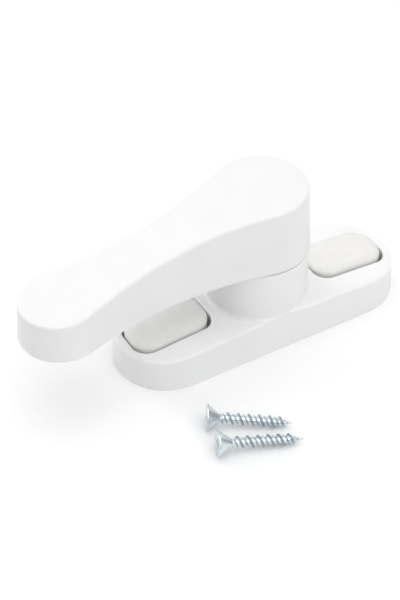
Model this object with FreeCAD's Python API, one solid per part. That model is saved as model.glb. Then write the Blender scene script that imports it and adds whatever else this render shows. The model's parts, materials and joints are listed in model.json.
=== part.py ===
import FreeCAD, Part
import math
import os

from FreeCAD import Vector

# Swing-arm sash lock. The base is screwed flat to a window or door frame and the arm turns
# through half a turn about the boss, so that its tip lies over the sash or clear of it.
# Millimetres and degrees. +Z leaves the frame face, the origin is where the swing axis
# meets the base's underside, and +X runs along the base, away from the arm at rest.

# Base casting: a plate with full round ends, sides that lean in and a crowned top.
base_length = 75.0
base_width = 25.5
base_height = 10.0
base_crown = 2.05
base_draft = 3.3
base_edge_round = 0.7

# Round boss that lifts the arm clear of the plate, almost as wide as the plate.
boss_set_in = 0.7
boss_height = 23.25
boss_foot_round = 1.2
boss_rim_round = 0.5

# Two recesses in the plate, one on each side of the boss, for the screw heads and covers.
# The lands are what the plate keeps round them.
pocket_boss_land = 1.35
pocket_end_land = 2.75
pocket_side_land = 6.55
pocket_near_round = 3.6
pocket_far_round = 4.3
pocket_floor = 4.0
pocket_rim_round = 0.5

# Screw holes with countersinks in the pocket floors.
screw_hole_radius = 1.7
countersink_radius = 3.2

# Push-in covers over the screw heads.
cover_gap = 0.4
cover_corner_extra = 0.8
cover_proud = 1.4
cover_edge_round = 1.5
cover_wall = 1.6
cover_skin = 2.0
cover_floor_gap = 0.15
peg_radius = 1.1
peg_play = 0.08
peg_depth = 2.2
peg_tip_gap = 0.4
peg_set_in = 4.35

# Friction washer between the boss and the arm.
arm_washer_thickness = 0.5
arm_washer_set_in = 0.9
washer_bore_play = 0.2

# Arm: a round head over the boss, a slim neck and a smaller round tip. Its sides lean in
# by the draft, and the fall shares are the drop left at one third and two thirds of the reach.
arm_head_overhang = 0.1
arm_tip_radius = 9.55
arm_reach = 53.4
arm_neck_width = 14.0
arm_draft = 3.3
arm_head_thickness = 16.55
arm_tip_thickness = 9.45
arm_fall_shares = (0.77, 0.40)
arm_edge_round = 0.6
arm_lower_round = 0.3
arm_wall = 2.6
arm_skin = 2.8
arm_rib = 2.2
arm_rest_angle = 4.6
swing_each_way = 90.0

# Stop pin in the boss and the arc groove that it runs in under the arm's head.
stop_pin_radius = 1.25
stop_pin_bush_land = 1.3
stop_pin_sunk = 6.0
stop_pin_engaged = 3.0
stop_side_gap = 0.35
stop_end_gap = 0.6
stop_top_gap = 0.5

# Spindle: hexagonal tang in the arm, plain shoulder in the bush, threaded end for the nut.
shoulder_radius = 4.0
tang_length = 10.0
thread_radius = 3.0
thread_past_nut = 1.0
spindle_chamfer = 0.5
bush_wall = 1.2
bush_play = 0.05

# Clamping stack in the recess under the boss, from its ceiling down.
boss_wall = 3.55
recess_play = 0.9
thrust_washer_thickness = 1.0
spring_thickness = 0.8
spring_height = 1.3
spring_set_in = 0.4
flat_washer_thickness = 1.2
flat_washer_radius = 6.0
flat_washer_play = 0.15
nut_flats = 10.0
nut_height = 6.0
nut_setback = 2.5
insert_height = 1.6
insert_radius = 4.0
nut_chamfer = 0.5

# Countersunk fixing screws, lying loose in front of the base's long side. A place is the
# distance along +X and out from that side to the middle of the head.
screw_length = 20.0
screw_head_radius = 3.0
screw_head_rim = 0.35
screw_neck_length = 3.4
screw_core_radius = 0.82
screw_thread_radius = 1.5
screw_low_thread_radius = 1.12
screw_pitch = 2.34
screw_thread_start = 4.4
screw_point_length = 3.2
cross_length = 3.4
cross_width = 0.75
cross_depth = 1.7
screw_1_place = (-28.7, 12.45)
screw_1_heading = -31.0
screw_2_place = (-30.7, 20.45)
screw_2_heading = -21.2

# Sizes and places that follow from the ones above.
boss_radius = base_width / 2 - boss_set_in
pocket_near = boss_radius + boss_foot_round + pocket_boss_land
pocket_far = base_length / 2 - pocket_end_land
pocket_width = base_width - 2 * pocket_side_land
pocket_middle = (pocket_near + pocket_far) / 2
peg_offset = (pocket_far - pocket_near) / 2 - peg_set_in
arm_underside = boss_height + arm_washer_thickness
arm_washer_radius = boss_radius - arm_washer_set_in
arm_head_radius = boss_radius + arm_head_overhang
bush_radius = shoulder_radius + bush_play + bush_wall
stop_circle_radius = bush_radius + stop_pin_bush_land + stop_pin_radius
tang_flats = shoulder_radius * math.sqrt(3)
recess_radius = boss_radius - boss_wall
thrust_washer_radius = recess_radius - recess_play
spring_radius = thrust_washer_radius - spring_set_in
nut_top = nut_setback + nut_height
shoulder_bottom = nut_top + flat_washer_thickness
recess_ceiling = shoulder_bottom + spring_height + thrust_washer_thickness
spindle_end = nut_setback - thread_past_nut
over = 1.0
origin = Vector(0, 0, 0)
up = Vector(0, 0, 1)


def crown_height(x, lift=0.0):
    """Height of the crowned top at distance x from the middle."""
    radius = (base_length ** 2 / 4 + base_crown ** 2) / (2 * base_crown)
    return base_height + lift - radius + math.sqrt(radius ** 2 - x ** 2)


def cylinder(radius, bottom, top, x=0.0, y=0.0):
    return Part.makeCylinder(radius, top - bottom, Vector(x, y, bottom), up)


def tube(outer, inner, bottom, top):
    return cylinder(outer, bottom, top).cut(cylinder(inner, bottom - over, top + over))


def hexagon(flats, bottom, top):
    """Six-sided prism on the swing axis."""
    corner = flats / math.sqrt(3)
    turns = [math.radians(60 * step) for step in range(7)]
    points = [Vector(corner * math.cos(turn), corner * math.sin(turn), bottom) for turn in turns]
    return Part.Face(Part.makePolygon(points)).extrude(up * (top - bottom))


def revolved(points, axis=up, angle=360.0):
    """Solid of a closed outline turned about an axis through the origin."""
    return Part.Face(Part.makePolygon(points + points[:1])).revolve(origin, axis, angle)


def prism(edges, bottom, top):
    face = Part.Face(Part.Wire(edges))
    face.translate(up * bottom)
    return face.extrude(up * (top - bottom))


def under_curve(curve_edge, depth):
    """Block that lies below a curve in the XZ plane, as wide as the whole part."""
    start = curve_edge.Vertexes[0].Point
    end = curve_edge.Vertexes[-1].Point
    low_start = Vector(start.x, 0, -depth)
    low_end = Vector(end.x, 0, -depth)
    sides = [Part.makeLine(end, low_end), Part.makeLine(low_end, low_start)]
    sides.append(Part.makeLine(low_start, start))
    face = Part.Face(Part.Wire([curve_edge] + sides))
    face.translate(Vector(0, -base_length, 0))
    return face.extrude(Vector(0, 2 * base_length, 0))


def facing_edges(shape, direction):
    """Edges of the faces that look up (direction 1) or down (direction -1)."""
    edges = {}
    for face in shape.Faces:
        first_u, last_u, first_v, last_v = face.ParameterRange
        normal = face.normalAt((first_u + last_u) / 2, (first_v + last_v) / 2)
        if normal.z * direction > 0.5:
            for edge in face.Edges:
                edges[edge.hashCode()] = edge
    return list(edges.values())


def crown_block(lift):
    """Everything below the plate's crowned top, raised by lift."""
    half = base_length / 2
    ends = [Vector(side * half, 0, crown_height(half, lift)) for side in (-1, 1)]
    middle = Vector(0, 0, base_height + lift)
    return under_curve(Part.Arc(ends[0], middle, ends[1]).toShape(), over)


def stadium_edges(inset):
    """Outline of the plate, drawn smaller all round by inset."""
    straight = base_length / 2 - base_width / 2
    radius = base_width / 2 - inset
    corners = {}
    for x_side in (-1, 1):
        for y_side in (-1, 1):
            corners[x_side, y_side] = Vector(x_side * straight, y_side * radius, 0)
    ends = {side: Vector(side * (straight + radius), 0, 0) for side in (-1, 1)}
    return [
        Part.makeLine(corners[-1, -1], corners[1, -1]),
        Part.Arc(corners[1, -1], ends[1], corners[1, 1]).toShape(),
        Part.makeLine(corners[1, 1], corners[-1, 1]),
        Part.Arc(corners[-1, 1], ends[-1], corners[-1, -1]).toShape(),
    ]


def pocket_edges(side, inset, corner_extra=0.0):
    """Outline of a screw pocket, drawn smaller by inset, its corners rounder by an extra."""
    near = pocket_near + inset
    far = pocket_far - inset
    half = pocket_width / 2 - inset
    near_round = pocket_near_round - inset + corner_extra
    far_round = pocket_far_round - inset + corner_extra
    corners = [
        (near, half, -1, 1, near_round),
        (near, -half, -1, -1, near_round),
        (far, -half, 1, -1, far_round),
        (far, half, 1, 1, far_round),
    ]
    arcs = []
    diagonal = 1 - math.sqrt(0.5)
    for number, (x, y, out_x, out_y, radius) in enumerate(corners):
        on_side = Vector(side * x, y - out_y * radius, 0)
        middle = Vector(side * (x - out_x * radius * diagonal), y - out_y * radius * diagonal, 0)
        on_end = Vector(side * (x - out_x * radius), y, 0)
        points = [on_end, middle, on_side] if number % 2 == 0 else [on_side, middle, on_end]
        arcs.append(points)
    edges = []
    for number, points in enumerate(arcs):
        following = arcs[(number + 1) % len(arcs)]
        edges.append(Part.Arc(*points).toShape())
        edges.append(Part.makeLine(points[2], following[0]))
    return edges


def leaning_column(outline, draft, bottom, height, inset=0.0):
    """An outline function's shape carried up from bottom, its sides leaning in by the draft."""
    wires = []
    for rise in (0, height):
        wire = Part.Wire(outline(inset + rise * math.tan(math.radians(draft))))
        wire.translate(up * (bottom + rise))
        wires.append(wire)
    return Part.makeLoft(wires, True, True)


def base_column(height):
    return leaning_column(stadium_edges, base_draft, 0, height)


def base_plate():
    plate = base_column(base_height + over).common(crown_block(0))
    return plate.makeFillet(base_edge_round, facing_edges(plate, 1))


def boss_foot():
    """Hollow round at the boss's foot, kept inside the plate's leaning sides."""
    foot_radius = boss_radius + boss_foot_round
    foot = crown_height(foot_radius)
    diagonal = math.sqrt(0.5)
    arc_top = Vector(boss_radius, 0, foot + boss_foot_round)
    arc_middle = Vector(
        foot_radius - boss_foot_round * diagonal, 0, foot + boss_foot_round * (1 - diagonal)
    )
    arc_foot = Vector(foot_radius, 0, foot)
    axis_top = Vector(0, 0, arc_top.z)
    buried = Vector(foot_radius, 0, 0)
    edges = [
        Part.makeLine(origin, buried),
        Part.makeLine(buried, arc_foot),
        Part.Arc(arc_foot, arc_middle, arc_top).toShape(),
        Part.makeLine(arc_top, axis_top),
        Part.makeLine(axis_top, origin),
    ]
    turned = Part.Face(Part.Wire(edges)).revolve(origin, up, 360)
    return turned.common(base_column(arc_top.z))


def boss():
    column = cylinder(boss_radius, 0, boss_height)
    rim = [edge for edge in column.Edges if edge.BoundBox.ZMin > boss_height - over]
    return column.makeFillet(boss_rim_round, rim).fuse(boss_foot())


def peg_places(side):
    return [side * pocket_middle - peg_offset, side * pocket_middle + peg_offset]


def pocket_cut(side):
    """Recess for one cover with its countersunk screw hole and peg sockets."""
    middle = side * pocket_middle
    recess = prism(pocket_edges(side, 0), pocket_floor, base_height + over)
    hole = cylinder(screw_hole_radius, -over, pocket_floor + over, middle)
    sink_depth = countersink_radius - screw_hole_radius
    sink = Part.makeCone(
        screw_hole_radius, countersink_radius, sink_depth,
        Vector(middle, 0, pocket_floor - sink_depth), up,
    )
    cut = recess.fuse([hole, sink])
    socket_bottom = pocket_floor - peg_depth - peg_tip_gap
    for x in peg_places(side):
        cut = cut.fuse(cylinder(peg_radius + peg_play, socket_bottom, pocket_floor + over, x))
    return cut


def pocket_rim(shape):
    """Edges where the pocket walls meet the crowned top."""
    rim = []
    for edge in shape.Edges:
        box = edge.BoundBox
        inside = abs(box.Center.y) <= pocket_width / 2 and box.YLength <= pocket_width
        beside_boss = pocket_near - 0.01 <= abs(box.Center.x) <= pocket_far + 0.01
        if inside and beside_boss and box.ZMin > base_height - base_crown and box.ZLength < 1:
            rim.append(edge)
    return rim


def base():
    plate = base_plate()
    for side in (-1, 1):
        plate = plate.cut(pocket_cut(side))
    plate = plate.makeFillet(pocket_rim_round, pocket_rim(plate))
    casting = plate.fuse(boss()).removeSplitter()
    casting = casting.cut(cylinder(recess_radius, -over, recess_ceiling))
    casting = casting.cut(cylinder(bush_radius, -over, boss_height + over))
    pin_hole = cylinder(
        stop_pin_radius, boss_height - stop_pin_sunk, boss_height + over, stop_circle_radius
    )
    return casting.cut(pin_hole)


def spindle_bush():
    return tube(bush_radius, shoulder_radius + bush_play, recess_ceiling, boss_height)


def stop_pin():
    bottom = boss_height - stop_pin_sunk
    top = arm_underside + stop_pin_engaged
    return cylinder(stop_pin_radius, bottom, top, stop_circle_radius)


def arm_washer():
    bore = shoulder_radius + washer_bore_play
    washer = tube(arm_washer_radius, bore, boss_height, arm_underside)
    hole = cylinder(stop_pin_radius, boss_height - over, arm_underside + over, stop_circle_radius)
    return washer.cut(hole)


def arm_side_radius():
    """Radius of the hollow side arcs: tangent to head and tip circles, neck width apart."""
    neck = arm_neck_width / 2
    start = (arm_tip_radius ** 2 - arm_head_radius ** 2 - arm_reach ** 2) / (2 * arm_reach)
    slope = (arm_tip_radius - arm_head_radius) / arm_reach
    linear = 2 * (start * slope + neck - arm_head_radius)
    constant = start ** 2 + neck ** 2 - arm_head_radius ** 2
    return 2 * constant / (math.sqrt(linear ** 2 - 4 * slope ** 2 * constant) - linear)


def arm_edges(inset):
    """Arm outline, drawn smaller all round by inset, with the tip towards -X."""
    head = arm_head_radius - inset
    tip = arm_tip_radius - inset
    side = arm_side_radius() + inset
    to_head = head + side
    to_tip = tip + side
    centre_x = -(arm_reach ** 2 + to_head ** 2 - to_tip ** 2) / (2 * arm_reach)
    centre_y = math.sqrt(to_head ** 2 - centre_x ** 2)
    tip_centre = Vector(-arm_reach, 0, 0)
    points = {}
    for y_side in (-1, 1):
        centre = Vector(centre_x, y_side * centre_y, 0)
        on_head = centre * (head / to_head)
        on_tip = tip_centre + (centre - tip_centre) * (tip / to_tip)
        towards = (on_head + on_tip) / 2 - centre
        middle = centre + towards * (side / towards.Length)
        points[y_side] = (on_head, middle, on_tip)
    return [
        Part.Arc(points[1][0], Vector(head, 0, 0), points[-1][0]).toShape(),
        Part.Arc(*points[-1]).toShape(),
        Part.Arc(points[-1][2], tip_centre - Vector(tip, 0, 0), points[1][2]).toShape(),
        Part.Arc(points[1][2], points[1][1], points[1][0]).toShape(),
    ]


def arm_top_block(drop):
    """Everything below the arm's falling top, lowered by drop."""
    fall = arm_head_thickness - arm_tip_thickness
    thicknesses = [arm_head_thickness, arm_head_thickness]
    thicknesses += [arm_tip_thickness + share * fall for share in arm_fall_shares]
    thicknesses += [arm_tip_thickness]
    stations = [arm_head_radius + over, 0, -arm_reach / 3, -arm_reach * 2 / 3]
    stations += [-arm_reach - arm_tip_radius - over]
    points = []
    for x, thickness in zip(stations, thicknesses):
        points.append(Vector(x, 0, arm_underside + thickness - drop))
    curve = Part.BSplineCurve()
    curve.interpolate(points)
    return under_curve(curve.toShape(), over)


def arm_column(inset, height):
    return leaning_column(arm_edges, arm_draft, arm_underside, height, inset)


def neck_hollow():
    """Two hollows under the neck and tip, one on each side of a middle rib."""
    top = arm_underside + arm_head_thickness
    hollow = arm_column(arm_wall, arm_head_thickness).common(arm_top_block(arm_skin))
    hollow = hollow.cut(cylinder(arm_head_radius, arm_underside - 2 * over, top))
    rib_length = arm_reach + arm_tip_radius
    rib = Part.makeBox(
        rib_length, arm_rib, top, Vector(-rib_length, -arm_rib / 2, arm_underside - 2 * over)
    )
    return hollow.cut(rib)


def stop_groove():
    """Arc groove on the side of the head away from the tip."""
    inner = stop_circle_radius - stop_pin_radius - stop_side_gap
    outer = stop_circle_radius + stop_pin_radius + stop_side_gap
    bottom = arm_underside - over
    top = arm_underside + stop_pin_engaged + stop_top_gap
    pin_half_angle = math.degrees(math.asin(stop_pin_radius / stop_circle_radius))
    half_angle = swing_each_way + pin_half_angle + stop_end_gap
    corners = [(inner, bottom), (outer, bottom), (outer, top), (inner, top)]
    groove = revolved([Vector(x, 0, z) for x, z in corners], up, 2 * half_angle)
    groove.rotate(origin, up, -half_angle)
    return groove


def arm():
    blank = arm_column(0, arm_head_thickness + over).common(arm_top_block(0))
    blank = blank.makeFillet(arm_edge_round, facing_edges(blank, 1))
    blank = blank.makeFillet(arm_lower_round, facing_edges(blank, -1))
    blank = blank.cut(neck_hollow())
    blank = blank.cut(stop_groove())
    blank = blank.cut(hexagon(tang_flats, arm_underside - over, arm_underside + tang_length))
    return turned_to_rest(blank)


def turned_to_rest(shape):
    """Turn a piece that swings with the arm to the angle that the arm rests at."""
    shape.rotate(origin, up, arm_rest_angle)
    return shape


def spindle():
    tang = hexagon(tang_flats, arm_underside, arm_underside + tang_length)
    shoulder = cylinder(shoulder_radius, shoulder_bottom, arm_underside)
    thread = cylinder(thread_radius, spindle_end + spindle_chamfer, shoulder_bottom)
    lead = Part.makeCone(
        thread_radius - spindle_chamfer, thread_radius, spindle_chamfer,
        Vector(0, 0, spindle_end), up,
    )
    return turned_to_rest(tang.fuse([shoulder, thread, lead]).removeSplitter())


def thrust_washer():
    bore = shoulder_radius + washer_bore_play
    return tube(thrust_washer_radius, bore, recess_ceiling - thrust_washer_thickness, recess_ceiling)


def disc_spring():
    """Cone washer: its rim bears on the thrust washer and its bore on the flat washer."""
    bore = shoulder_radius + washer_bore_play
    low = shoulder_bottom
    high = low + spring_height
    profile = [
        Vector(bore, 0, low),
        Vector(bore, 0, low + spring_thickness),
        Vector(spring_radius, 0, high),
        Vector(spring_radius, 0, high - spring_thickness),
    ]
    return revolved(profile)


def flat_washer():
    low = shoulder_bottom - flat_washer_thickness
    return tube(flat_washer_radius, thread_radius + flat_washer_play, low, shoulder_bottom)


def lock_nut():
    """Hexagon nut with chamfered corners and a seat for the insert at its lower end."""
    bottom = nut_top - nut_height
    body = hexagon(nut_flats, bottom, nut_top)
    corner = nut_flats / math.sqrt(3)
    round_profile = [
        Vector(0, 0, bottom),
        Vector(corner - nut_chamfer, 0, bottom),
        Vector(corner, 0, bottom + nut_chamfer),
        Vector(corner, 0, nut_top - nut_chamfer),
        Vector(corner - nut_chamfer, 0, nut_top),
        Vector(0, 0, nut_top),
    ]
    body = body.common(revolved(round_profile))
    body = body.cut(cylinder(thread_radius, bottom - over, nut_top + over))
    return turned_to_rest(body.cut(cylinder(insert_radius, bottom - over, bottom + insert_height)))


def nut_insert():
    bottom = nut_top - nut_height
    return tube(insert_radius, thread_radius, bottom, bottom + insert_height)


def screw_cover(side):
    """Push-in cap with a crowned top, a hollow underside and two pegs."""
    bottom = pocket_floor + cover_floor_gap
    top = base_height + cover_proud + over
    outline = pocket_edges(side, cover_gap, cover_corner_extra)
    cap = prism(outline, bottom, top).common(crown_block(cover_proud))
    cap = cap.makeFillet(cover_edge_round, facing_edges(cap, 1))
    hollow = prism(pocket_edges(side, cover_gap + cover_wall), bottom - over, top)
    cap = cap.cut(hollow.common(crown_block(cover_proud - cover_skin)))
    for x in peg_places(side):
        ceiling = crown_height(x, cover_proud - cover_skin / 2)
        cap = cap.fuse(cylinder(peg_radius, pocket_floor - peg_depth, ceiling, x))
    return cap.removeSplitter()


def screw_profile():
    """Half outline of a screw along +X: head face, cone, curved neck, two thread heights, point."""
    points = [(0, 0), (0, screw_head_radius), (screw_head_rim, screw_head_radius)]
    neck_steps = 6
    for step in range(1, neck_steps + 1):
        share = step / neck_steps
        x = screw_head_rim + share * (screw_neck_length - screw_head_rim)
        fall = 1 - (1 - share) ** 2.2
        points.append((x, screw_head_radius - fall * (screw_head_radius - screw_core_radius)))
    taper_start = screw_length - screw_point_length
    crest_step = screw_pitch / 2
    x = screw_thread_start
    tall = True
    while x < screw_length - crest_step:
        crest = screw_thread_radius if tall else screw_low_thread_radius
        left = min(1.0, (screw_length - x) / screw_point_length)
        core = screw_core_radius * left
        points.append((x - crest_step / 4, core))
        points.append((x, max(crest * left ** 0.8, core)))
        points.append((x + crest_step / 4, core))
        x += crest_step
        tall = not tall
    points.append((screw_length, 0))
    return points, taper_start


def fixing_screw(place, heading):
    """Screw lying on the surface, touching it with its head rim and its last full crest."""
    outline, last_crest = screw_profile()
    body = revolved([Vector(x, 0, r) for x, r in outline], Vector(1, 0, 0))
    for turn in (0, 90):
        slot = Part.makeBox(
            cross_depth + over, cross_length, cross_width,
            Vector(-over, -cross_length / 2, -cross_width / 2),
        )
        slot.rotate(origin, Vector(1, 0, 0), turn)
        body = body.cut(slot)
    tilt = math.atan2(screw_head_radius - screw_thread_radius, last_crest)
    body.rotate(origin, Vector(0, 1, 0), math.degrees(tilt))
    body.rotate(origin, up, heading)
    along, out = place
    lowest = body.optimalBoundingBox().ZMin
    body.translate(Vector(along, -base_width / 2 - out, -lowest))
    return body


def parts():
    return {
        "base": base(),
        "spindle_bush": spindle_bush(),
        "stop_pin": stop_pin(),
        "arm_washer": arm_washer(),
        "arm": arm(),
        "spindle": spindle(),
        "thrust_washer": thrust_washer(),
        "disc_spring": disc_spring(),
        "flat_washer": flat_washer(),
        "lock_nut": lock_nut(),
        "nut_insert": nut_insert(),
        "screw_cover_left": screw_cover(-1),
        "screw_cover_right": screw_cover(1),
        "fixing_screw_1": fixing_screw(screw_1_place, screw_1_heading),
        "fixing_screw_2": fixing_screw(screw_2_place, screw_2_heading),
    }


os.makedirs("parts", exist_ok=True)
for name, shape in parts().items():
    shape.exportStep("parts/" + name + ".step")
    box = shape.BoundBox
    print(name, shape.ShapeType, len(shape.Solids), "valid", shape.isValid(),
          "volume", round(shape.Volume, 1), "z", round(box.ZMin, 2), round(box.ZMax, 2))
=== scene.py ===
import bpy
import json
import math
import numpy as np
from mathutils import Matrix, Vector


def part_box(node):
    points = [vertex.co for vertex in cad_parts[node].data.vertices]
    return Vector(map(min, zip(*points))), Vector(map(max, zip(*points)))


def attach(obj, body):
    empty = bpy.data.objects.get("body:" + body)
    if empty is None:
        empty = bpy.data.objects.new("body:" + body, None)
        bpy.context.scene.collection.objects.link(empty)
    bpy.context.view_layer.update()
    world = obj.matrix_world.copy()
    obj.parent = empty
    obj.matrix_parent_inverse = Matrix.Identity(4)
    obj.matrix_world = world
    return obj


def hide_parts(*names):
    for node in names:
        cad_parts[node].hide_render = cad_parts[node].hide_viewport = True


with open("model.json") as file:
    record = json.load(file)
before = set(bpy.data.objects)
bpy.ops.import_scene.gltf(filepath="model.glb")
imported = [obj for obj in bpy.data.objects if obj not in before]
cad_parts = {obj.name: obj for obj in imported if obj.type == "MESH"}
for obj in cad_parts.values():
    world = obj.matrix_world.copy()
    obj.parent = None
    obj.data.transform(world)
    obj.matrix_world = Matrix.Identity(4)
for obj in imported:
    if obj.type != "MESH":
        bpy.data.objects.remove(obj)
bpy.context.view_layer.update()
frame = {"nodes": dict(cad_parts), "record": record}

mm = 0.001
print("frame loaded:", len(frame["nodes"]), "nodes")


# camera, floor and light

cameraSettings = {
    "azimuth": -31.07,         # degrees round from looking along +Y
    "elevation": 42.72,
    "roll": 0.62,
    "distance": 379.7 * mm,
    "aside": (-13.28 * mm, 3.68 * mm),   # how far the view's middle is off the swing axis
    "lensPerSensor": 2.613,
    "sensor": 36.0,
}


def makeCamera():
    # looks at the swing axis' foot from the given angles, then slides aside without turning
    turn = math.radians(cameraSettings["azimuth"])
    rise = math.radians(cameraSettings["elevation"])
    back = Vector((math.sin(turn) * math.cos(rise), -math.cos(turn) * math.cos(rise), math.sin(rise)))
    right = Vector((math.cos(turn), math.sin(turn), 0.0))
    up = back.cross(right)
    aside, above = cameraSettings["aside"]
    data = bpy.data.cameras.new("camera")
    data.sensor_width = cameraSettings["sensor"]
    data.lens = cameraSettings["lensPerSensor"] * cameraSettings["sensor"]
    data.clip_start, data.clip_end = 0.01, 20.0
    camera = bpy.data.objects.new("camera", data)
    basis = Matrix((right, up, back)).transposed().to_4x4()
    spin = Matrix.Rotation(math.radians(cameraSettings["roll"]), 4, "Z")
    place = back * cameraSettings["distance"] + right * aside + up * above
    camera.matrix_world = Matrix.Translation(place) @ basis @ spin
    bpy.context.scene.collection.objects.link(camera)
    bpy.context.scene.camera = camera
    print("camera made")


stageSettings = {
    "floorSize": 6.0,
    "floorColor": (0.94, 0.94, 0.942, 1.0),
    "floorRoughness": 0.9,
    "worldColor": (1.0, 1.0, 1.0, 1.0),
    "skyStrength": (0.23, 0.77),      # at the horizon and overhead
    "aim": (0.0, 0.0, 0.01),
    "lamps": [
        # name, place, size, watts, colour
        ("overhead", (0.05, 0.0, 0.80), 0.8, 2.2, (1.0, 1.0, 1.0)),
        ("frontTent", (0.04, -0.62, 0.60), 0.8, 2.25, (1.0, 0.998, 0.992)),
        ("backTent", (-0.28, 0.68, 0.40), 0.7, 2.7, (0.99, 0.993, 1.0)),
        ("lowCard", (0.75, 0.22, 0.12), 0.5, 0.4, (1.0, 1.0, 1.0)),
    ],
}


def makeFloor():
    half = stageSettings["floorSize"] / 2
    corners = [(-half, -half, 0), (half, -half, 0), (half, half, 0), (-half, half, 0)]
    mesh = bpy.data.meshes.new("floor")
    mesh.from_pydata(corners, [], [(0, 1, 2, 3)])
    floor = bpy.data.objects.new("floor", mesh)
    bpy.context.scene.collection.objects.link(floor)
    material = bpy.data.materials.new("floor")
    material.use_nodes = True
    shader = material.node_tree.nodes["Principled BSDF"]
    shader.inputs["Base Color"].default_value = stageSettings["floorColor"]
    shader.inputs["Roughness"].default_value = stageSettings["floorRoughness"]
    mesh.materials.append(material)


def makeSky():
    # plain white, its strength rising evenly with height from the horizon to overhead
    world = bpy.context.scene.world or bpy.data.worlds.new("world")
    bpy.context.scene.world = world
    world.use_nodes = True
    tree = world.node_tree
    background = tree.nodes["Background"]
    background.inputs["Color"].default_value = stageSettings["worldColor"]
    up = tree.nodes.new("ShaderNodeSeparateXYZ")
    rise = tree.nodes.new("ShaderNodeMapRange")
    tree.links.new(tree.nodes.new("ShaderNodeTexCoord").outputs["Generated"], up.inputs["Vector"])
    tree.links.new(up.outputs["Z"], rise.inputs["Value"])
    rise.inputs["To Min"].default_value, rise.inputs["To Max"].default_value = stageSettings["skyStrength"]
    tree.links.new(rise.outputs["Result"], background.inputs["Strength"])


def makeLamps():
    aim = Vector(stageSettings["aim"])
    for name, place, size, watts, color in stageSettings["lamps"]:
        data = bpy.data.lights.new(name, "AREA")
        data.size, data.energy, data.color = size, watts, color
        lamp = bpy.data.objects.new(name, data)
        lamp.location = place
        lamp.rotation_mode = "QUATERNION"
        lamp.rotation_quaternion = (aim - Vector(place)).to_track_quat("-Z", "Y")
        bpy.context.scene.collection.objects.link(lamp)


def makeStage():
    makeFloor()
    makeSky()
    makeLamps()
    bpy.context.scene.view_settings.view_transform = "Standard"
    print("stage and lights made")


# shared effects, each a node group

def newGroup(name, inputs, outputs):
    # inputs and outputs are name: default, where a float, a colour or None for a vector
    group = bpy.data.node_groups.new(name, "ShaderNodeTree")
    kinds = {"float": "NodeSocketFloat", "tuple": "NodeSocketColor", "NoneType": "NodeSocketVector"}
    for side, sockets in (("INPUT", inputs), ("OUTPUT", outputs)):
        for socketName, default in sockets.items():
            kind = kinds[type(default).__name__]
            socket = group.interface.new_socket(name=socketName, in_out=side, socket_type=kind)
            if default is not None:
                socket.default_value = default
    return group, group.nodes.new("NodeGroupInput"), group.nodes.new("NodeGroupOutput")


def addNode(tree, kind, inputs, **settings):
    # inputs are values or links by socket name or number; settings are the node's own choices
    node = tree.nodes.new(kind)
    for key, value in settings.items():
        setattr(node, key, value)
    for key, value in inputs.items():
        if isinstance(value, bpy.types.NodeSocket):
            tree.links.new(value, node.inputs[key])
        else:
            node.inputs[key].default_value = value
    return node


def ramp(tree, source, fromRange, toRange=(0.0, 1.0), kind="SMOOTHSTEP"):
    # one range carried over to another, held at its ends
    node = addNode(tree, "ShaderNodeMapRange", {
        "Value": source, "From Min": fromRange[0], "From Max": fromRange[1],
        "To Min": toRange[0], "To Max": toRange[1]}, interpolation_type=kind)
    return node.outputs["Result"]


def calc(tree, operation, first, second):
    # one sum, difference, product or comparison of two values
    return addNode(tree, "ShaderNodeMath", {0: first, 1: second}, operation=operation).outputs[0]


def noise(tree, where, scale, detail):
    # soft cloud pattern between 0 and 1
    node = addNode(tree, "ShaderNodeTexNoise", {"Vector": where, "Scale": scale, "Detail": detail})
    return node.outputs["Fac"]


def upShare(tree):
    # how far a face looks up, from -1 to 1
    facing = addNode(tree, "ShaderNodeNewGeometry", {}).outputs["Normal"]
    return addNode(tree, "ShaderNodeSeparateXYZ", {"Vector": facing}).outputs["Z"]


def makeGrainGroup():
    # height of a moulded or sprayed skin, a soft peel and a finer grain on it, and a broad mottle
    group, given, out = newGroup(
        "skinGrain", {"Vector": None, "Peel Scale": 900.0, "Grain Scale": 4200.0, "Grain": 0.3},
        {"Height": 0.0, "Mottle": 0.0})
    where, peelScale = given.outputs["Vector"], given.outputs["Peel Scale"]
    grain = noise(group, where, given.outputs["Grain Scale"], 2.0)
    fine = calc(group, "MULTIPLY", grain, given.outputs["Grain"])
    total = calc(group, "ADD", noise(group, where, peelScale, 1.5), fine)
    group.links.new(total, out.inputs["Height"])
    broader = calc(group, "MULTIPLY", peelScale, 0.12)      # about eight times the peel's size
    mottle = noise(group, where, broader, 3.0)
    group.links.new(mottle, out.inputs["Mottle"])
    return group


def makeSpeckGroup():
    # sparse small pits: a spot in a few cells of a scattered pattern, of uneven size
    group, given, out = newGroup(
        "speckPits", {"Vector": None, "Scale": 260.0, "Rarity": 0.9, "Size": 0.09}, {"Mask": 0.0})
    cells = addNode(group, "ShaderNodeTexVoronoi",
                    {"Vector": given.outputs["Vector"], "Scale": given.outputs["Scale"]})
    split = addNode(group, "ShaderNodeSeparateColor", {"Color": cells.outputs["Color"]})
    chosen = calc(group, "GREATER_THAN", split.outputs["Red"], given.outputs["Rarity"])
    reach = calc(group, "MULTIPLY", split.outputs["Green"], given.outputs["Size"])
    inside = calc(group, "SUBTRACT", reach, cells.outputs["Distance"])
    depth = ramp(group, inside, (0.0, 0.03))
    group.links.new(calc(group, "MULTIPLY", chosen, depth), out.inputs["Mask"])
    return group


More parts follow.
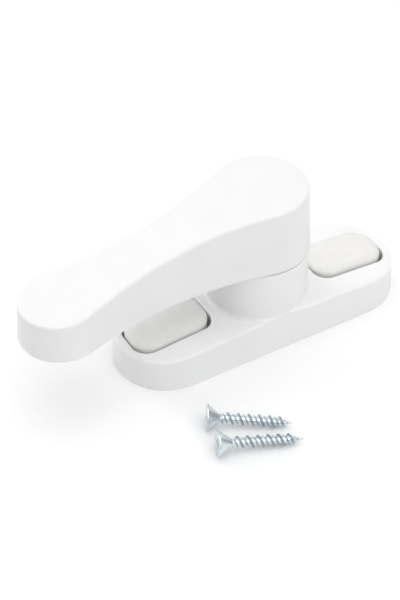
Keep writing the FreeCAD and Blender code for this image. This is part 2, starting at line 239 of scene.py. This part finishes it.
def makeEdgeGroup():
    # rubbed edges and a painted highlight: rounded edges between up-facing and side-facing faces, where
    # they catch the light, broken up by a noise
    group, given, out = newGroup(
        "edgeRubAndHighlight", {"Vector": None, "Scale": 300.0, "Amount": 0.5}, {"Mask": 0.0})
    steep = calc(group, "ABSOLUTE", upShare(group), 0.0)
    band = calc(group, "MULTIPLY", ramp(group, steep, (0.15, 0.5)),
                ramp(group, steep, (0.7, 0.95), (1.0, 0.0)))
    rough = noise(group, given.outputs["Vector"], given.outputs["Scale"], 4.0)
    broken = calc(group, "MULTIPLY", band, ramp(group, rough, (0.25, 0.55)))
    group.links.new(calc(group, "MULTIPLY", broken, given.outputs["Amount"]), out.inputs["Mask"])
    return group


def makeDustGroup():
    # thin dust that settles on what faces up, in soft patches
    group, given, out = newGroup(
        "settledDust", {"Vector": None, "Scale": 90.0, "Amount": 0.3}, {"Mask": 0.0})
    rough = noise(group, given.outputs["Vector"], given.outputs["Scale"], 6.0)
    lying = calc(group, "MULTIPLY", ramp(group, upShare(group), (0.55, 0.95)),
                 ramp(group, rough, (0.42, 0.7)))
    group.links.new(calc(group, "MULTIPLY", lying, given.outputs["Amount"]), out.inputs["Mask"])
    return group


effects = {
    "grain": makeGrainGroup(),
    "speck": makeSpeckGroup(),
    "edge": makeEdgeGroup(),
    "dust": makeDustGroup(),
}
print("node groups made:", len(effects))


def newMaterial(name):
    # a material with its node tree, its shader and the place on the object
    material = bpy.data.materials.new(name)
    material.use_nodes = True
    tree = material.node_tree
    where = addNode(tree, "ShaderNodeTexCoord", {}).outputs["Object"]
    return material, tree, tree.nodes["Principled BSDF"], where


def effect(tree, name, where, amounts):
    # one of the shared effects with its own values
    node = tree.nodes.new("ShaderNodeGroup")
    node.node_tree = effects[name]
    tree.links.new(where, node.inputs["Vector"])
    for key, value in amounts.items():
        node.inputs[key].default_value = value
    return node.outputs


def mixColor(tree, factor, first, second):
    # sockets 6 and 7 are the two colours of a Mix node, and output 2 is the mixed one
    node = addNode(tree, "ShaderNodeMix", {}, data_type="RGBA")
    tree.links.new(factor, node.inputs["Factor"])
    for socket, value in ((node.inputs[6], first), (node.inputs[7], second)):
        if isinstance(value, bpy.types.NodeSocket):
            tree.links.new(value, socket)
        else:
            socket.default_value = value
    return node.outputs[2]


def bump(tree, height, distance, under=None):
    # normal tilted by a height pattern, on top of another one if given
    node = addNode(tree, "ShaderNodeBump", {"Height": height, "Distance": distance, "Strength": 1.0})
    if under is not None:
        tree.links.new(under, node.inputs["Normal"])
    return node.outputs["Normal"]


coatSettings = {
    "color": (0.85, 0.851, 0.858, 1.0),
    "mottleColor": (0.830, 0.832, 0.840, 1.0),
    "pitColor": (0.52, 0.52, 0.53, 1.0),
    # lighter colour of the rubbed edges: partly wear, partly a painted highlight
    "rubAndHighlightColor": (0.95, 0.95, 0.952, 1.0),
    "dustColor": (0.80, 0.79, 0.775, 1.0),
    "roughness": (0.36, 0.46),
    "peel": 0.012 * mm,
    "pitDepth": 0.05 * mm,
    "pitSize": 0.10,
    "coat": 0.15,
    "coatRoughness": 0.25,
}


def sprayedCoat(name, pitRarity, rubAndHighlightAmount, paintedShadeTone=1.0):
    # white sprayed coat on a casting: peel, a few pits, rubbed edges with a painted highlight on them and
    # a little dust;
    # a tone below 1 is a darker white, painted shade that holds back the stronger light on a part
    s = coatSettings
    material, tree, shader, where = newMaterial(name)
    grain = effect(tree, "grain", where, {"Peel Scale": 1100.0, "Grain Scale": 5200.0, "Grain": 0.25})
    pits = effect(tree, "speck", where, {"Scale": 210.0, "Rarity": pitRarity, "Size": s["pitSize"]})
    rubAndHighlight = effect(tree, "edge", where, {"Scale": 260.0, "Amount": rubAndHighlightAmount})
    dust = effect(tree, "dust", where, {"Scale": 110.0, "Amount": 0.22})
    mottled = ramp(tree, grain["Mottle"], (0.35, 0.75))
    # a tone below 1 paints shade into both colours
    deep = [tuple(part * paintedShadeTone for part in s[key][:3]) + (1.0,) for key in ("color", "mottleColor")]
    color = mixColor(tree, mottled, *deep)
    # rounded edges lightened: partly rubbed coat, partly a painted highlight where they catch the light
    color = mixColor(tree, rubAndHighlight["Mask"], color, s["rubAndHighlightColor"])
    color = mixColor(tree, dust["Mask"], color, s["dustColor"])
    color = mixColor(tree, pits["Mask"], color, s["pitColor"])
    tree.links.new(color, shader.inputs["Base Color"])
    gloss = ramp(tree, grain["Mottle"], (0.3, 0.7), s["roughness"], "LINEAR")
    tree.links.new(gloss, shader.inputs["Roughness"])
    skin = bump(tree, grain["Height"], s["peel"])
    sunk = calc(tree, "SUBTRACT", 0.0, pits["Mask"])
    tree.links.new(bump(tree, sunk, s["pitDepth"], skin), shader.inputs["Normal"])
    shader.inputs["Coat Weight"].default_value = s["coat"]
    shader.inputs["Coat Roughness"].default_value = s["coatRoughness"]
    return material


plasticSettings = {
    "grain": 0.02 * mm,
    "lightReach": (1.2 * mm, 1.0 * mm, 0.8 * mm),      # of red, green and blue under the skin
}


def mouldedPlastic(name, color, shade, roughness=(0.5, 0.62), softness=0.0):
    # matt moulded plastic: an eroded skin, broad mottling and settled dust
    material, tree, shader, where = newMaterial(name)
    grain = effect(tree, "grain", where, {"Peel Scale": 2300.0, "Grain Scale": 6400.0, "Grain": 0.5})
    dust = effect(tree, "dust", where, {"Scale": 160.0, "Amount": 0.35})
    base = mixColor(tree, ramp(tree, grain["Mottle"], (0.3, 0.7)), color, shade)
    tree.links.new(mixColor(tree, dust["Mask"], base, shade), shader.inputs["Base Color"])
    gloss = ramp(tree, grain["Mottle"], (0.3, 0.7), roughness, "LINEAR")
    tree.links.new(gloss, shader.inputs["Roughness"])
    tree.links.new(bump(tree, grain["Height"], plasticSettings["grain"]), shader.inputs["Normal"])
    shader.inputs["Subsurface Weight"].default_value = softness
    shader.inputs["Subsurface Radius"].default_value = plasticSettings["lightReach"]
    shader.inputs["Subsurface Scale"].default_value = 1.0
    return material


steelSettings = {
    "grain": 0.006 * mm,
    "rubAndHighlightBright": 1.12,             # rubbed edges and their painted highlight, against the plain colour
}


def platedSteel(name, color, shade, roughness=(0.2, 0.4), threadPaintedShade=None):
    # plated or ground steel: cloudy tint, uneven gloss and a fine grain; rubbed edges with a painted
    # highlight; painted shade and dark reflection on the thread crests
    material, tree, shader, where = newMaterial(name)
    grain = effect(tree, "grain", where, {"Peel Scale": 2600.0, "Grain Scale": 9000.0, "Grain": 0.35})
    rubAndHighlight = effect(tree, "edge", where, {"Scale": 900.0, "Amount": 0.4})
    cloudy = mixColor(tree, ramp(tree, grain["Mottle"], (0.3, 0.7)), color, shade)
    # rounded edges brightened: partly wear, partly a painted highlight
    bright = tuple(min(1.0, part * steelSettings["rubAndHighlightBright"]) for part in color[:3]) + (1.0,)
    surface = mixColor(tree, rubAndHighlight["Mask"], cloudy, bright)
    if threadPaintedShade:
        # painted shade and dark reflection: darker on the thread crests, in the cross recess and at the
        # point
        thread = addNode(tree, "ShaderNodeAttribute", {}, attribute_name="paintedThreadShade").outputs["Fac"]
        surface = mixColor(tree, ramp(tree, thread, (0.1, 1.0)), surface, threadPaintedShade)
    tree.links.new(surface, shader.inputs["Base Color"])
    gloss = ramp(tree, grain["Mottle"], (0.3, 0.7), roughness, "LINEAR")
    tree.links.new(gloss, shader.inputs["Roughness"])
    tree.links.new(bump(tree, grain["Height"], steelSettings["grain"]), shader.inputs["Normal"])
    shader.inputs["Metallic"].default_value = 1.0
    return material


finishes = {
    # the base's strong edge rub is mostly a painted highlight on its rounded top edge
    "base_white": sprayedCoat("baseCoat", 0.985, 0.55),
    # the arm's white is darker by its tone: painted shade against the stronger light on its top, so that
    # the painted rim highlight shows
    "arm_white": sprayedCoat("armCoat", 0.90, 0.15, 0.965),
    # one plastic for both covers, painted apart: the left is lighter, painted light for the shade under
    # the arm, and the right is darker, painted shade against its stronger light
    "cover_grey_left": mouldedPlastic(
        "leftCoverPlasticPaintedLight", (0.845, 0.838, 0.818, 1), (0.81, 0.805, 0.785, 1), softness=0.1),
    "cover_grey_right": mouldedPlastic(
        "rightCoverPlasticPaintedShade", (0.785, 0.775, 0.753, 1), (0.75, 0.742, 0.72, 1), softness=0.1),
    "bush_acetal": mouldedPlastic("bushAcetal", (0.85, 0.85, 0.82, 1), (0.8, 0.8, 0.77, 1)),
    "washer_nylon": mouldedPlastic("washerNylon", (0.74, 0.73, 0.68, 1), (0.66, 0.65, 0.6, 1)),
    "insert_nylon": mouldedPlastic("insertNylon", (0.10, 0.24, 0.55, 1), (0.08, 0.2, 0.48, 1)),
    "pin_steel": platedSteel("pinSteel", (0.62, 0.62, 0.63, 1), (0.52, 0.52, 0.53, 1)),
    "spindle_steel": platedSteel("spindleSteel", (0.6, 0.61, 0.63, 1), (0.5, 0.52, 0.55, 1)),
    "spring_steel": platedSteel("springSteel", (0.16, 0.16, 0.17, 1), (0.11, 0.11, 0.12, 1),
                                (0.45, 0.6)),
    "zinc_steel": platedSteel("nutZinc", (0.66, 0.69, 0.72, 1), (0.58, 0.62, 0.66, 1)),
    # its thread colour is painted shade and dark reflection on the crests and in the cross recess
    "screw_zinc": platedSteel("screwZinc", (0.76, 0.82, 0.845, 1), (0.63, 0.71, 0.75, 1),
                              (0.22, 0.36), (0.40, 0.49, 0.53, 1)),
}


def finishFrame():
    # every CAD node gets the material of its slot in the record
    slots = {part["node"]: part["material_slot"] for part in frame["record"]["subparts"]}
    for node, obj in frame["nodes"].items():
        obj.data.materials.clear()
        obj.data.materials.append(finishes[slots[node]])
    print("finishes put on", len(slots), "nodes")


# surfaces on a grid

def gridFaces(rows, columns, closedAcross=True):
    # quads between neighbours of a rows by columns grid; the columns close on themselves
    across = columns if closedAcross else columns - 1
    i, j = np.meshgrid(np.arange(rows - 1), np.arange(across), indexing="ij")
    here = i * columns + j
    beside = i * columns + (j + 1) % columns
    return np.stack([here, beside, beside + columns, here + columns], axis=-1).reshape(-1, 4)


def capFaces(ring, pole, reverse):
    # triangles from a ring of vertex numbers to one pole vertex
    following = np.roll(ring, -1)
    pair = (following, ring) if reverse else (ring, following)
    return np.stack([np.full(len(ring), pole), pair[0], pair[1]], axis=-1)


def turnedMesh(points, startPole, endPole):
    # closed surface of a rows by columns by 3 grid, with a pole vertex at each end
    rows, columns, _ = points.shape
    vertices = np.vstack([points.reshape(-1, 3), startPole, endPole])
    quads = gridFaces(rows, columns)
    first = capFaces(np.arange(columns), rows * columns, True)
    last = capFaces(np.arange(columns) + (rows - 1) * columns, rows * columns + 1, False)
    return vertices, quads, np.vstack([first, last])


def buildObject(name, surfaces, material):
    # one mesh object from several closed surfaces
    vertices, faces, start = [], [], 0
    for points, quads, triangles in surfaces:
        vertices.append(points)
        faces += (quads + start).tolist() + (triangles + start).tolist()
        start += len(points)
    mesh = bpy.data.meshes.new(name)
    mesh.from_pydata(np.vstack(vertices), [], faces)
    mesh.polygons.foreach_set("use_smooth", np.ones(len(mesh.polygons), bool))
    mesh.materials.append(material)
    mesh.validate()
    mesh.update()
    obj = bpy.data.objects.new(name, mesh)
    bpy.context.scene.collection.objects.link(obj)
    return obj


# push-in screw covers

coverSettings = {
    # the outline against the CAD cover: outwards is positive at the end towards -X and +X,
    # at the front and at the back
    "growLow": 0.12 * mm,
    "growHigh": 0.00 * mm,
    "growFront": -0.05 * mm,
    "growBack": 0.32 * mm,
    "cornerByBoss": 4.5 * mm,
    "cornerOuter": 4.9 * mm,
    "bottomToRim": 2.35 * mm,      # from the peg tips up to the rim
    "crownRadius": 344.0 * mm,
    "crestSetIn": 1.5 * mm,        # the CAD cover is highest this far from its end by the boss
    "pillow": 0.15 * mm,           # further fall of the top towards its edge
    "edgeWide": 2.3 * mm,          # rounded edge, an upright ellipse
    "edgeHigh": 1.35 * mm,
    "rimRound": 0.25 * mm,
    "wall": 1.6 * mm,
    "skin": 2.0 * mm,
    "pegRadius": 1.1 * mm,
    "pegSetIn": 3.95 * mm,         # from the CAD cover's ends
    "pegBelowTop": 1.55 * mm,      # from the CAD cover's highest point down to the pegs' roots
    "pegLead": (0.5 * mm, 0.2 * mm),     # heights above the tip, where the lead starts and its middle
    "pegNarrow": (0.93, 0.72),     # shares of the radius at the lead's middle and at the tip
    "pegAround": 40,
    "cornerSteps": 16,
    "sideSteps": 10,
    "topRows": 14,
    "edgeRows": 16,
    "wallRows": 10,
    "innerRows": 8,
}


def coverOutline(lowest, highest):
    # rounded rectangle: a quarter circle at each corner and even steps along the straights,
    # with the outward direction at each point, so that point - d * direction is an outline inset
    # by d; the order is clockwise from above, so that the faces of the cap look outwards
    s = coverSettings
    low, high = lowest[0] - s["growLow"], highest[0] + s["growHigh"]
    front, back = lowest[1] - s["growFront"], highest[1] + s["growBack"]
    atHigh, atLow = s["cornerOuter"], s["cornerByBoss"]
    if high < 0:
        atHigh, atLow = atLow, atHigh
    corners = [(high, back, atHigh, 0), (low, back, atLow, 90), (low, front, atLow, 180),
               (high, front, atHigh, 270)]
    arcs, ways = [], []
    for x, y, radius, start in corners:
        angle = np.radians(np.linspace(start, start + 90, s["cornerSteps"]))
        way = np.stack([np.cos(angle), np.sin(angle)], axis=-1)
        inward = np.sign(way[len(way) // 2]) * radius
        arcs.append([x, y] - inward + radius * way)
        ways.append(way)
    points, directions = [], []
    for here, way, ahead in zip(arcs, ways, arcs[1:] + arcs[:1]):
        share = np.linspace(0, 1, s["sideSteps"] + 1)[1:-1, None]
        points += [here, here[-1] + share * (ahead[0] - here[-1])]
        directions += [way, way[-1] + 0 * share]
    return np.vstack(points)[::-1], np.vstack(directions)[::-1]


def crownFall(x):
    # how far a long arc over the plate's length has dropped at x
    radius = coverSettings["crownRadius"]
    return radius - np.sqrt(radius ** 2 - x ** 2)


def coverTop(lowest, highest):
    # height that the crown would have over the middle of the plate
    nearest = min(abs(lowest[0]), abs(highest[0])) + coverSettings["crestSetIn"]
    return highest[2] + float(crownFall(nearest))


def coverSurface(lowest, highest):
    # rows run from the middle of the top out, down the elliptic edge and the wall, round the rim,
    # and up the inner wall to the middle of the hollow's ceiling
    s = coverSettings
    top, bottom = coverTop(lowest, highest), lowest[2] + s["bottomToRim"]
    outline, out = coverOutline(lowest, highest)
    middle = (outline.min(axis=0) + outline.max(axis=0)) / 2
    wide, high = s["edgeWide"], s["edgeHigh"]
    flat = np.linspace(0, 1, s["topRows"])[1:-1]
    bend = np.linspace(0, math.pi / 2, s["edgeRows"])
    down = np.linspace(0, 1, s["wallRows"])[1:-1]
    climb = np.linspace(0, 1, s["innerRows"])
    shoulder = outline - wide * out
    inner = outline - s["wall"] * out
    ceiling = top - s["skin"]
    # each row is its outline in plan, its height, and how much of the crown's fall it follows
    rows = [(middle + share * (shoulder - middle), top - s["pillow"] * share ** 2, 1.0)
            for share in flat]
    edgeTop = top - s["pillow"]
    rows += [(outline - wide * (1 - math.sin(a)) * out, edgeTop - high * (1 - math.cos(a)), 1.0)
             for a in bend]
    sideTop, sideBottom = edgeTop - high, bottom + s["rimRound"]
    rows += [(outline, sideTop + share * (sideBottom - sideTop), 1.0 - share) for share in down]
    rows += [(outline - s["rimRound"] * (1 - math.cos(a)) * out,
              sideBottom - s["rimRound"] * math.sin(a), 0.0) for a in bend[::3]]
    rows += [(inner, bottom + share * (ceiling - bottom), share) for share in climb]
    rows += [(middle + (1 - share) * (inner - middle), ceiling, 1.0) for share in flat[::2]]
    grid = [np.column_stack([plan, height - follows * crownFall(plan[:, 0])])
            for plan, height, follows in rows]
    fall = float(crownFall(middle[0]))
    return turnedMesh(np.stack(grid), (*middle, top - fall), (*middle, ceiling - fall))


def pegSurface(x, tip, top):
    # upright round peg: radius by height, the same down to the lead and narrowed below it
    s = coverSettings
    leadTop, leadMiddle = s["pegLead"]
    heights = np.array([top, (top + tip) / 2, tip + leadTop, tip + leadMiddle, tip])
    radii = s["pegRadius"] * np.array([1.0, 1.0, 1.0, *s["pegNarrow"]])
    angle = np.linspace(0, -2 * math.pi, s["pegAround"], endpoint=False)
    ring = np.stack([np.cos(angle), np.sin(angle)], axis=-1)
    plan = [x, 0.0] + radii[:, None, None] * ring
    points = np.concatenate([plan, heights[:, None, None] + 0 * plan[..., :1]], axis=-1)
    return turnedMesh(points, (x, 0, top), (x, 0, tip))


def makeCovers():
    # each cap is one object: the domed shell and its two pegs
    s = coverSettings
    for word in ("left", "right"):
        node, slot = "screw_cover_" + word, "cover_grey_" + word
        lowest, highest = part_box(node)
        pegTop = highest[2] - s["pegBelowTop"]
        surfaces = [coverSurface(lowest, highest)]
        for x in (lowest[0] + s["pegSetIn"], highest[0] - s["pegSetIn"]):
            surfaces.append(pegSurface(x, lowest[2], pegTop))
        obj = buildObject(word + "_cover_cap", surfaces, finishes[slot])
        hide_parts(node)
        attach(obj, word + "_cover")
    print("covers made")


# loose fixing screws

screwSettings = {
    "length": 20.0 * mm,
    "headRadius": 3.0 * mm,
    "rim": 0.35 * mm,
    "rimRound": 0.12 * mm,
    "neckEnd": 3.4 * mm,
    "neckCurve": 1.15,             # 1 is a straight cone, more is hollower
    "coreRadius": 0.82 * mm,
    "tallRadius": 1.48 * mm,
    "lowRadius": 1.12 * mm,
    "contactRadius": 1.5 * mm,     # of the last full crest, which the screw lies on
    "pitch": 2.34 * mm,
    "threadStart": 3.0 * mm,
    "threadRise": 0.9 * mm,        # length over which the thread grows to its full height
    "pointLength": 3.8 * mm,
    "pointCurve": 1.2,             # 1 is a straight cone, more is a thinner needle
    "pointFade": (0.15, 0.5),      # the thread dies out between these shares of the point left
    "pointFall": 1.2,              # height of the thread per share of the point left, at most 1
    "tipGap": 0.05 * mm,           # between the last ring and the tip
    "tallFlank": 0.34 * mm,        # half width of a crest at its root
    "lowFlank": 0.24 * mm,
    "crestCurve": 0.9,             # 1 is a plain triangle, less is a fuller crest
    "crossReach": 1.7 * mm,
    "crossWidth": 0.8 * mm,
    "crossDepth": 1.6 * mm,
    "crossFall": 0.6,              # less keeps the slots deep for longer
    "crossTaper": 0.25,            # how much narrower the slots are in the middle
    "crossEdge": 0.12 * mm,
    "shadeHeight": 0.3 * mm,       # crests this high get the full painted shade
    # painted shade in the cross recess and at the point
    "crossShade": 0.8,
    "pointShade": 0.3,
    "around": 80,
    "faceRings": 44,
    "faceSpread": (0.03, 0.8),     # the first ring, and the power that sets the others' spacing
    "rimSteps": 6,
    "shankStep": 0.036 * mm,
    "turns": {
        # heading in degrees, and turn about its own axis in radians
        "fixing_screw_1": (-31.0, 0.35),
        "fixing_screw_2": (-21.2, 1.1),
    },
}


def smooth(values, low, high):
    # 0 below low, 1 above high and 3 t^2 - 2 t^3 between them
    t = np.clip((values - low) / (high - low), 0.0, 1.0)
    return t * t * (3 - 2 * t)


def crossDepth(y, z):
    # depth of the cross recess: two slots that get deeper and narrower towards the middle
    s = screwSettings
    share = np.hypot(y, z) / s["crossReach"]
    fall = np.clip(1 - share, 0.0, 1.0) ** s["crossFall"]
    narrow = s["crossWidth"] / 2 * (1 - s["crossTaper"] * (1 - share))
    inner, outer = narrow - s["crossEdge"], narrow + s["crossEdge"]
    slots = np.maximum(1 - smooth(np.abs(y), inner, outer), 1 - smooth(np.abs(z), inner, outer))
    return s["crossDepth"] * fall * slots * (1 - smooth(share, 0.9, 1.0))


def ridge(phase, flank):
    # a nearly triangular crest once a turn: (1 - distance from the crest / flank) ^ crestCurve
    away = np.abs(phase - np.round(phase)) * screwSettings["pitch"]
    return np.clip(1 - away / flank, 0.0, 1.0) ** screwSettings["crestCurve"]


def headRows(angle):
    # radius and place along the axis, for the face sunk by the cross and for its rounded rim
    s = screwSettings
    firstRing, power = s["faceSpread"]
    ring = np.linspace(firstRing, 1.0, s["faceRings"])[:, None] ** power
    faceRadius = ring * (s["headRadius"] - s["rimRound"]) + 0 * angle
    faceX = crossDepth(faceRadius * np.cos(angle), faceRadius * np.sin(angle))
    bend = np.linspace(0, math.pi / 2, s["rimSteps"])[1:, None]
    rimRadius = s["headRadius"] - s["rimRound"] * (1 - np.sin(bend)) + 0 * angle
    rimX = s["rimRound"] * (1 - np.cos(bend)) + 0 * angle
    return faceRadius, faceX, rimRadius, rimX


def shankRows(angle):
    # r(x, angle) = core(x) + two crests on one helix half a turn apart, both fading at each end
    s = screwSettings
    x = np.arange(s["rim"], s["length"] - s["tipGap"], s["shankStep"])[:, None]
    share = np.clip((x - s["rim"]) / (s["neckEnd"] - s["rim"]), 0, 1)
    neck = (s["headRadius"] - s["coreRadius"]) * (1 - share) ** s["neckCurve"]
    left = np.clip((s["length"] - x) / s["pointLength"], 0, 1)
    core = (s["coreRadius"] + neck) * left ** s["pointCurve"]
    start = smooth(x, s["threadStart"], s["threadStart"] + s["threadRise"])
    finish = np.clip(left * s["pointFall"], 0, 1) * smooth(left, *s["pointFade"])
    phase = x / s["pitch"] - angle / (2 * math.pi)
    tall = (s["tallRadius"] - s["coreRadius"]) * ridge(phase, s["tallFlank"])
    low = (s["lowRadius"] - s["coreRadius"]) * ridge(phase + 0.5, s["lowFlank"])
    crest = start * finish * np.maximum(tall, low)
    return core + crest, x + 0 * angle, crest


def screwSurface():
    # along +X from the head's face to the point, with the share of painted shade at each vertex
    s = screwSettings
    angle = np.linspace(0, 2 * math.pi, s["around"], endpoint=False)
    faceRadius, faceX, rimRadius, rimX = headRows(angle)
    shankRadius, shankX, crest = shankRows(angle)
    radius = np.vstack([faceRadius, rimRadius, shankRadius])
    along = np.vstack([faceX, rimX, shankX])
    points = np.stack([along, radius * np.cos(angle), radius * np.sin(angle)], axis=-1)
    middleDepth = float(crossDepth(np.zeros(1), np.zeros(1))[0])
    # painted shade: darker the deeper the cross recess, on the thread crests by their height, and at the
    # two poles
    sunk = s["crossShade"] * np.clip(faceX / s["crossDepth"], 0, 1)
    threaded = np.clip(crest / s["shadeHeight"], 0, 1)
    shade = np.vstack([sunk, 0 * rimX, threaded])
    shade = np.append(shade.ravel(), [s["crossShade"], s["pointShade"]])
    return turnedMesh(points, (middleDepth, 0, 0), (s["length"], 0, 0)), shade


def layScrew(vertices, node, heading, spin):
    # turned about its own axis, tipped until rim and last full crest touch the ground, then
    # moved so that the middle of its box is over the middle of the CAD screw's box
    s = screwSettings
    contact = s["length"] - s["pointLength"]
    tilt = math.atan2(s["headRadius"] - s["contactRadius"], contact)
    turn = Matrix.Rotation(math.radians(heading), 3, "Z") @ Matrix.Rotation(tilt, 3, "Y")
    turn = turn @ Matrix.Rotation(spin, 3, "X")
    laid = vertices @ np.array(turn).T
    lowest, highest = np.array(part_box(node))
    move = (lowest + highest - laid.min(axis=0) - laid.max(axis=0)) / 2
    return laid + [move[0], move[1], lowest[2] - laid[:, 2].min()]


def makeScrews():
    # both screws are the same surface, each laid down its own way
    (vertices, quads, triangles), shade = screwSurface()
    for node, (heading, spin) in screwSettings["turns"].items():
        laid = layScrew(vertices, node, heading, spin)
        obj = buildObject(node + "_threaded", [(laid, quads, triangles)], finishes["screw_zinc"])
        obj.data.attributes.new("paintedThreadShade", "FLOAT", "POINT").data.foreach_set("value", shade)
        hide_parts(node)
        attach(obj, node.replace("fixing_", ""))
    print("screws made")


makeCamera()
makeStage()
finishFrame()
makeCovers()
makeScrews()
